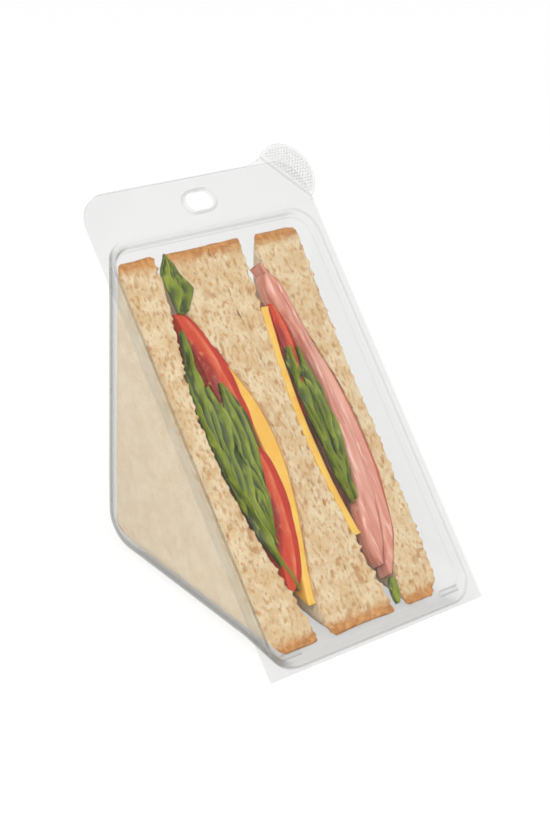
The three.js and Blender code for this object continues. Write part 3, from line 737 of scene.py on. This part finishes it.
def join_sheet(name, patches, body):
    """Welds patches of one formed sheet along their shared edges and gives the sheet its thickness."""
    points, quads, start = [], [], 0
    for patch, closed in patches:
        rows, columns = patch.shape[:2]
        faces = grid_faces(rows, columns, closed)
        flat = patch.reshape(-1, 3)
        a, b, c = (flat[faces[:, k]] for k in (0, 1, 2))
        if np.cross(b - a, c - a)[:, 2].sum() < 0:
            faces = faces[:, ::-1]
        quads.append(faces + start)
        points.append(flat)
        start += rows * columns
    mesh = make_mesh(name, standing(*np.concatenate(points).T), np.concatenate(quads))
    shell = bpy.data.objects.new(name + "_shell", mesh)
    bpy.context.scene.collection.objects.link(shell)
    weld = shell.modifiers.new("weld", "WELD")
    weld.merge_threshold = 0.02 * MM
    thick = shell.modifiers.new("thickness", "SOLIDIFY")
    thick.thickness = SHEET * MM
    thick.offset = 0
    thick.use_even_offset = False
    graph = bpy.context.evaluated_depsgraph_get()
    formed = bpy.data.meshes.new_from_object(shell.evaluated_get(graph))
    bpy.data.objects.remove(shell)
    formed.name = name
    formed.materials.clear()
    formed.shade_smooth()
    formed.set_sharp_from_angle(angle=math.radians(38))
    return add_piece(name, formed, clear_finish, body, [name])


def slot_radius(angle):
    """How far the hang slot's edge is from its middle: two half circles joined by straight sides."""
    cos, sin = np.abs(np.cos(angle)), np.abs(np.sin(angle))
    on_end = SLOT_REACH * cos + np.sqrt(np.maximum(SLOT_RADIUS**2 - (SLOT_REACH * sin) ** 2, 0))
    on_side = SLOT_RADIUS / np.maximum(sin, 1e-6)
    return np.where(on_side * cos < SLOT_REACH, on_side, on_end)


def header_patch(outline, level, lip):
    """The header from its hang slot, with a raised lip, out to its outline."""
    across, up = outline
    angle = np.arctan2(up - SLOT_CENTRE, across)
    radius = slot_radius(angle)
    rows = []
    for beyond_slot, share in [(-0.5, 0.2), (-0.4, 1.0), (0.0, 1.0), (0.2, 0.4), (0.35, 0.0)]:
        reach = radius + beyond_slot
        ring = np.stack([reach * np.cos(angle), SLOT_CENTRE + reach * np.sin(angle)])
        rows.append((ring, lip * share))
    start = rows[-1][0]
    for share in np.linspace(0, 1, 14)[1:]:
        rows.append((start + (outline - start) * (1 - (1 - share) ** 1.6), 0))
    return np.stack([np.stack([*ring, np.full_like(across, level + height)], -1) for ring, height in rows])


TRAY_INSET = SHEET / 2
HEEL_RADIUS = 14.0
CORNER_BLEND_DEPTH = 12.0
TRAY_HEADER_FOOT = 149.2
tray_level = -SHEET / 2
tray_back = WALL_END * COS - TRAY_INSET
tray_base = WALL_START * SIN + TRAY_INSET
tray_low, tray_high = tray_base / SIN, tray_back / COS


def tray_half(v, w):
    """Half the tray's inside width: the drafted side wall less its round edges."""
    depth = np.maximum(-w, 0)
    blend = np.minimum(depth / CORNER_BLEND_DEPTH, 1)
    to_base = (v - tray_low - depth / TAN) * (1 + (SIN - 1) * blend)
    to_back = (tray_high - depth * TAN - v) * (1 + (COS - 1) * blend)
    to_base, to_back = np.maximum(to_base, 0), np.maximum(to_back, 0)
    past_base = np.maximum(HEEL_RADIUS - to_base, 0)
    past_back = np.maximum(HEEL_RADIUS - to_back, 0)
    in_heel = HEEL_RADIUS - np.hypot(past_base, past_back)
    inside = np.maximum(np.minimum(np.minimum(to_base, to_back), in_heel), 0)
    share = to_back / np.maximum(to_back + to_base, 1e-6)
    deep_radius = BACK_EDGE_RADIUS + (BASE_EDGE_RADIUS - BACK_EDGE_RADIUS) * share
    radius = OPENING_CORNER + (deep_radius - OPENING_CORNER) * blend - TRAY_INSET
    push = radius - np.sqrt(radius**2 - np.maximum(radius - inside, 0) ** 2)
    return HALF_WIDTH - SIDE_FLANGE - TRAY_INSET - SIDE_DRAFT * depth - push


along = np.linspace(0, 1, 190)
tray_v = tray_low + (tray_high - tray_low) * (along - 0.85 * np.sin(2 * math.pi * along) / (2 * math.pi))
round_y, round_z = arc_points((tray_back - HEEL_RADIUS + TRAY_INSET, tray_base + HEEL_RADIUS - TRAY_INSET),
                              HEEL_RADIUS - TRAY_INSET, -math.pi / 2, 0, 40)
tray_line = np.concatenate([
    [[tray_low], [0]], np.stack([round_y * COS + round_z * SIN, round_z * COS - round_y * SIN]),
    [[tray_high], [0]],
], 1)
tray_floor = np.interp(tray_v, tray_line[0], tray_line[1])
down = np.sin(np.linspace(0, 1, 30) * math.pi / 2)[None]
wall_w = np.minimum(tray_floor[:, None] * down, tray_level)
wall_x = tray_half(tray_v[:, None], wall_w)
strip = np.linspace(-1, 1, 41)[None, 1:-1]
edge_x = wall_x[:, -1:]
tray_x = np.concatenate([-wall_x, edge_x * strip, wall_x[:, ::-1]], 1)
tray_w = np.concatenate([wall_w, wall_w[:, -1:] + 0 * strip, wall_w[:, ::-1]], 1)
tray_v_grid = np.broadcast_to(tray_v[:, None], tray_x.shape)
tray_shell = np.stack([tray_x, tray_v_grid, tray_w], -1)
ripple = 0.05 * lumps(tray_shell, 22.0, 131)
tray_shell[..., 0] += ripple * np.sign(tray_x) * (np.abs(tray_x) > 30) * np.minimum(-tray_w / 6, 1)

left_side = np.stack([-wall_x[:, 0], tray_v], 0)
top_line = np.stack([edge_x[-1] * strip[0], np.full(strip.shape[1], tray_v[-1])])
right_side = np.stack([wall_x[::-1, 0], tray_v[::-1]], 0)
foot_line = np.stack([edge_x[0] * strip[0, ::-1], np.full(strip.shape[1], tray_v[0])])
opening = np.concatenate([left_side, top_line, right_side, foot_line], 1)
rise = HINGE_SETBACK + (TRAY_HEADER_FOOT - HINGE_SETBACK) * (tray_v - tray_low) / (tray_high - tray_low)
header_x = HALF_WIDTH * strip[0]
frame_edge = np.concatenate([
    np.stack([np.full_like(tray_v, -HALF_WIDTH), rise]),
    np.stack([header_x, np.full_like(header_x, TRAY_HEADER_FOOT)]),
    np.stack([np.full_like(tray_v, HALF_WIDTH), rise[::-1]]),
    np.stack([header_x[::-1], np.full_like(header_x, HINGE_SETBACK)]),
], 1)
flange_rows = [opening + (frame_edge - opening) * share for share in np.linspace(0, 1, 6)]
tray_flange = np.stack([np.stack([*row, np.full(row.shape[1], tray_level)], -1) for row in flange_rows])


def side_up(across, low, high, count):
    """Evenly spaced points straight up the window at one place across it."""
    return np.stack([np.full(count, across), np.linspace(low, high, count)])


corner_high = FACE_LENGTH - HEADER_CORNER
corner_across = HALF_WIDTH - HEADER_CORNER
foot_of_header = np.concatenate([[[-HALF_WIDTH], [TRAY_HEADER_FOOT]],
                                 np.stack([header_x, np.full_like(header_x, TRAY_HEADER_FOOT)]),
                                 [[HALF_WIDTH], [TRAY_HEADER_FOOT]]], 1)
top_across = np.linspace(corner_across, -corner_across, 40)[1:-1]
tray_header = np.concatenate([
    foot_of_header, side_up(HALF_WIDTH, TRAY_HEADER_FOOT, corner_high, 5)[:, 1:-1],
    arc_points((corner_across, corner_high), HEADER_CORNER, 0, math.pi / 2, 16),
    np.stack([top_across, np.full_like(top_across, FACE_LENGTH)]),
    arc_points((-corner_across, corner_high), HEADER_CORNER, math.pi / 2, math.pi, 16),
    side_up(-HALF_WIDTH, TRAY_HEADER_FOOT, corner_high, 5)[:, ::-1][:, 1:-1],
], 1)
tray_header_grid = header_patch(tray_header, tray_level, -SLOT_LIP)
join_sheet("tray", [(tray_shell, False), (tray_flange, True), (tray_header_grid, True)], "tray")


# Lid: a flat flange on the tray's, a shallow recessed window that seats in the opening, two small
# lugs, and behind a straight crease a pebbled tab to peel it open by.
GAP = 0.3
lid_level = GAP + SHEET / 2
RECESS_DEPTH = 1.6
RECESS_TOP = 145.2
BEAD_REACH, FOOT_BEAD_SHARE = 1.0, 0.6
FILLET_END_ACROSS = 24.0
TAB_CENTRE = np.array([39.5, 158.5])
TAB_RADIUS = 11.4
CREASE_TOP = np.array([31.7, 164.7])
CREASE_FOOT = np.array([45.1, 149.0])
window_level = lid_level - RECESS_DEPTH


def rounded_ring(half, low, high, radius, arc=8, straight=34):
    """A rectangle with round corners; each side runs between the middles of its corners."""
    turn = np.linspace(0, math.pi / 4, arc)
    even = np.linspace(-1, 1, straight + 2)[1:-1]
    middle, reach = (low + high) / 2, (high - low) / 2
    sides = []
    for along_half, out_half in ((half, reach), (reach, half), (half, reach), (reach, half)):
        flat = along_half - radius
        back = turn[::-1]
        start = np.stack([-flat - radius * np.sin(back), out_half - radius + radius * np.cos(back)])
        side = np.stack([even * flat, np.full_like(even, out_half)])
        end = np.stack([flat + radius * np.sin(turn), out_half - radius + radius * np.cos(turn)])
        sides.append(np.concatenate([start, side, end[:, :-1]], 1))
    foot, right, top, left = sides
    return np.concatenate([
        np.stack([foot[0], middle - foot[1]]), np.stack([right[1], middle + right[0]]),
        np.stack([-top[0], middle + top[1]]), np.stack([-left[1], middle - left[0]]),
    ], 1)


def squared(ring, half, low, high):
    """The ring's points pushed out to a plain rectangle, corner to corner and side to side."""
    count = ring.shape[1] // 4
    made = []
    for k in range(4):
        part = ring[:, k * count:(k + 1) * count]
        following = ring[:, ((k + 1) * count) % ring.shape[1]]
        along_axis = 0 if k % 2 == 0 else 1
        share = (part[along_axis] - part[along_axis, 0]) / (following[along_axis] - part[along_axis, 0])
        corners = [(-half, low), (half, low), (half, high), (-half, high), (-half, low)]
        start, end = np.array(corners[k]), np.array(corners[k + 1])
        made.append(start[:, None] + (end - start)[:, None] * share)
    return np.concatenate(made, 1)


crease_way = (CREASE_TOP - CREASE_FOOT) / np.linalg.norm(CREASE_TOP - CREASE_FOOT)
to_edge = (HALF_WIDTH - CREASE_FOOT[0]) / crease_way[0]
crease_edge = CREASE_FOOT + crease_way * to_edge
lid_header_foot = crease_edge[1]
from_tab = CREASE_FOOT - TAB_CENTRE
half_root = math.sqrt((from_tab @ crease_way) ** 2 - from_tab @ from_tab + TAB_RADIUS**2)
chord_foot = CREASE_FOOT + crease_way * (-(from_tab @ crease_way) - half_root)
chord_top = CREASE_FOOT + crease_way * (-(from_tab @ crease_way) + half_root)

recess_half = HALF_WIDTH - SIDE_FLANGE - SHEET - GAP - SHEET / 2
recess_low = WALL_START + (SHEET + GAP) / SIN + SHEET / 2
recess_high = RECESS_TOP - SHEET / 2
drop = lid_level - window_level
rim_ring = rounded_ring(recess_half, recess_low, recess_high, OPENING_CORNER - SHEET / 2)
lid_edge = squared(rim_ring, HALF_WIDTH, HINGE_SETBACK, lid_header_foot)
profile = [
    (-BEAD_REACH, 0.0), (-0.88, -0.4), (-0.65, -0.5), (-0.4, -0.4), (-0.15, 0.06), (0.0, 0.25), (0.12, 0.6),
    (0.28, drop - 0.45), (0.45, drop - 0.05), (0.7, drop + 0.25), (1.1, drop + 0.25), (1.35, drop),
]
base_shift = drop / TAN
bead_low = recess_low - BEAD_REACH * FOOT_BEAD_SHARE
bead_high = recess_high + BEAD_REACH
bead_ring = rounded_ring(recess_half + BEAD_REACH, bead_low, bead_high, OPENING_CORNER + BEAD_REACH)
lid_rows = [(lid_edge + (bead_ring - lid_edge) * share, 0.0) for share in (0.0, 0.35, 0.7)]
for inward, fall in profile:
    low = recess_low + inward * (FOOT_BEAD_SHARE if inward < 0 else 1) + base_shift * fall / drop
    high = recess_high - inward
    lid_rows.append((rounded_ring(recess_half - inward, low, high, OPENING_CORNER - inward), fall))
floor_ring = lid_rows[-1][0]
floor_middle = np.array([[0.0], [(recess_low + recess_high) / 2]])
for share in np.linspace(1, 0, 26)[1:-1]:
    lid_rows.append((floor_middle + (floor_ring - floor_middle) * share, drop))
panel_rings = [np.stack([*row, np.full(row.shape[1], lid_level - fall)], -1) for row, fall in lid_rows]
lid_panel = np.stack(panel_rings)
calm = np.clip((lid_level - 1.2 - lid_panel[..., 2]) * 4, 0, 1)
lid_panel[..., 2] += 0.045 * lumps(lid_panel, 16.0, 137) * calm
last_ring = lid_panel[-1:]
lid_middle = np.concatenate([last_ring, np.broadcast_to(last_ring.mean(1, keepdims=True), last_ring.shape)])

count = rim_ring.shape[1] // 4
top_side = lid_edge[:, 2 * count:3 * count][:, ::-1]
top_side = np.concatenate([[[-HALF_WIDTH], [lid_header_foot]], top_side], 1)
chord = chord_foot[:, None] + (chord_top - chord_foot)[:, None] * np.linspace(0, 1, 90)
fillet_end = np.array([FILLET_END_ACROSS, FACE_LENGTH])
fillet = chord_top[:, None] + (fillet_end - chord_top)[:, None] * np.linspace(0, 1, 6)[1:]
lid_top = np.linspace(fillet_end[0], -corner_across, 36)[1:-1]
lid_header = np.concatenate([
    top_side, chord, fillet, np.stack([lid_top, np.full_like(lid_top, FACE_LENGTH)]),
    arc_points((-corner_across, corner_high), HEADER_CORNER, math.pi / 2, math.pi, 16),
    side_up(-HALF_WIDTH, lid_header_foot, corner_high, 6)[:, ::-1][:, 1:-1],
], 1)
lid_header_grid = header_patch(lid_header, lid_level, SLOT_LIP)

arc_start = math.atan2(*(chord_foot - TAB_CENTRE)[::-1])
arc_end = math.atan2(*(chord_top - TAB_CENTRE)[::-1])
tab_arc = arc_points(TAB_CENTRE, TAB_RADIUS, arc_start, arc_end, 90)
steps = np.linspace(0, 1, 64)
steps = (0.4 * steps + 0.6 * steps**2)[:, None, None]
tab = (chord + (tab_arc - chord) * steps).transpose(0, 2, 1)
tab_grid = np.concatenate([tab, np.full((*tab.shape[:2], 1), lid_level)], -1)


def crease_ridge(grid):
    """A narrow raised line along the crease."""
    offset = grid[..., :2] - CREASE_FOOT
    across = offset @ np.array([crease_way[1], -crease_way[0]])
    grid[..., 2] += 0.5 * np.exp(-((across / 0.45) ** 2))
    return across


crease_ridge(lid_header_grid)
beyond = crease_ridge(tab_grid)
PEBBLE_PITCH, PEBBLE_SIZE = 1.3, 0.6
PEBBLE_ROW = PEBBLE_PITCH * 0.866
row_number = np.round(tab_grid[..., 1] / PEBBLE_ROW)
column = tab_grid[..., 0] / PEBBLE_PITCH + 0.5 * (row_number % 2)
sideways = (column - np.round(column)) * PEBBLE_PITCH
off_centre = np.hypot(sideways, tab_grid[..., 1] - row_number * PEBBLE_ROW)
to_rim = TAB_RADIUS - 0.9 - np.linalg.norm(tab_grid[..., :2] - TAB_CENTRE, axis=-1)
in_tab = np.clip((beyond - 1.4) * 2, 0, 1) * np.clip(to_rim * 2, 0, 1)
tab_grid[..., 2] += PEBBLE_SIZE * np.maximum(1 - (off_centre / PEBBLE_SIZE) ** 2, 0) * in_tab

LUG_LENGTH, LUG_WIDTH, LUG_HEIGHT = 8.4, 1.8, 0.8
LUG_ACROSS, LUG_UP = 34.5, 6.0
lug_x, lug_v = np.meshgrid(np.linspace(-1, 1, 15), np.linspace(-1, 1, 9))
lug_rise = LUG_HEIGHT * np.clip(1.6 * (1 - np.maximum(np.abs(lug_x) ** 6, lug_v**4)), 0, 1)
lug_up = LUG_UP + lug_v * LUG_WIDTH / 2
lugs = [
    np.stack([side * LUG_ACROSS + lug_x * LUG_LENGTH / 2, lug_up, window_level + lug_rise], -1)
    for side in (-1, 1)
]

join_sheet("lid", [
    (lid_panel, True), (lid_middle, True), (lid_header_grid, True), (tab_grid, False),
    (lugs[0], False), (lugs[1], False),
], "lid")
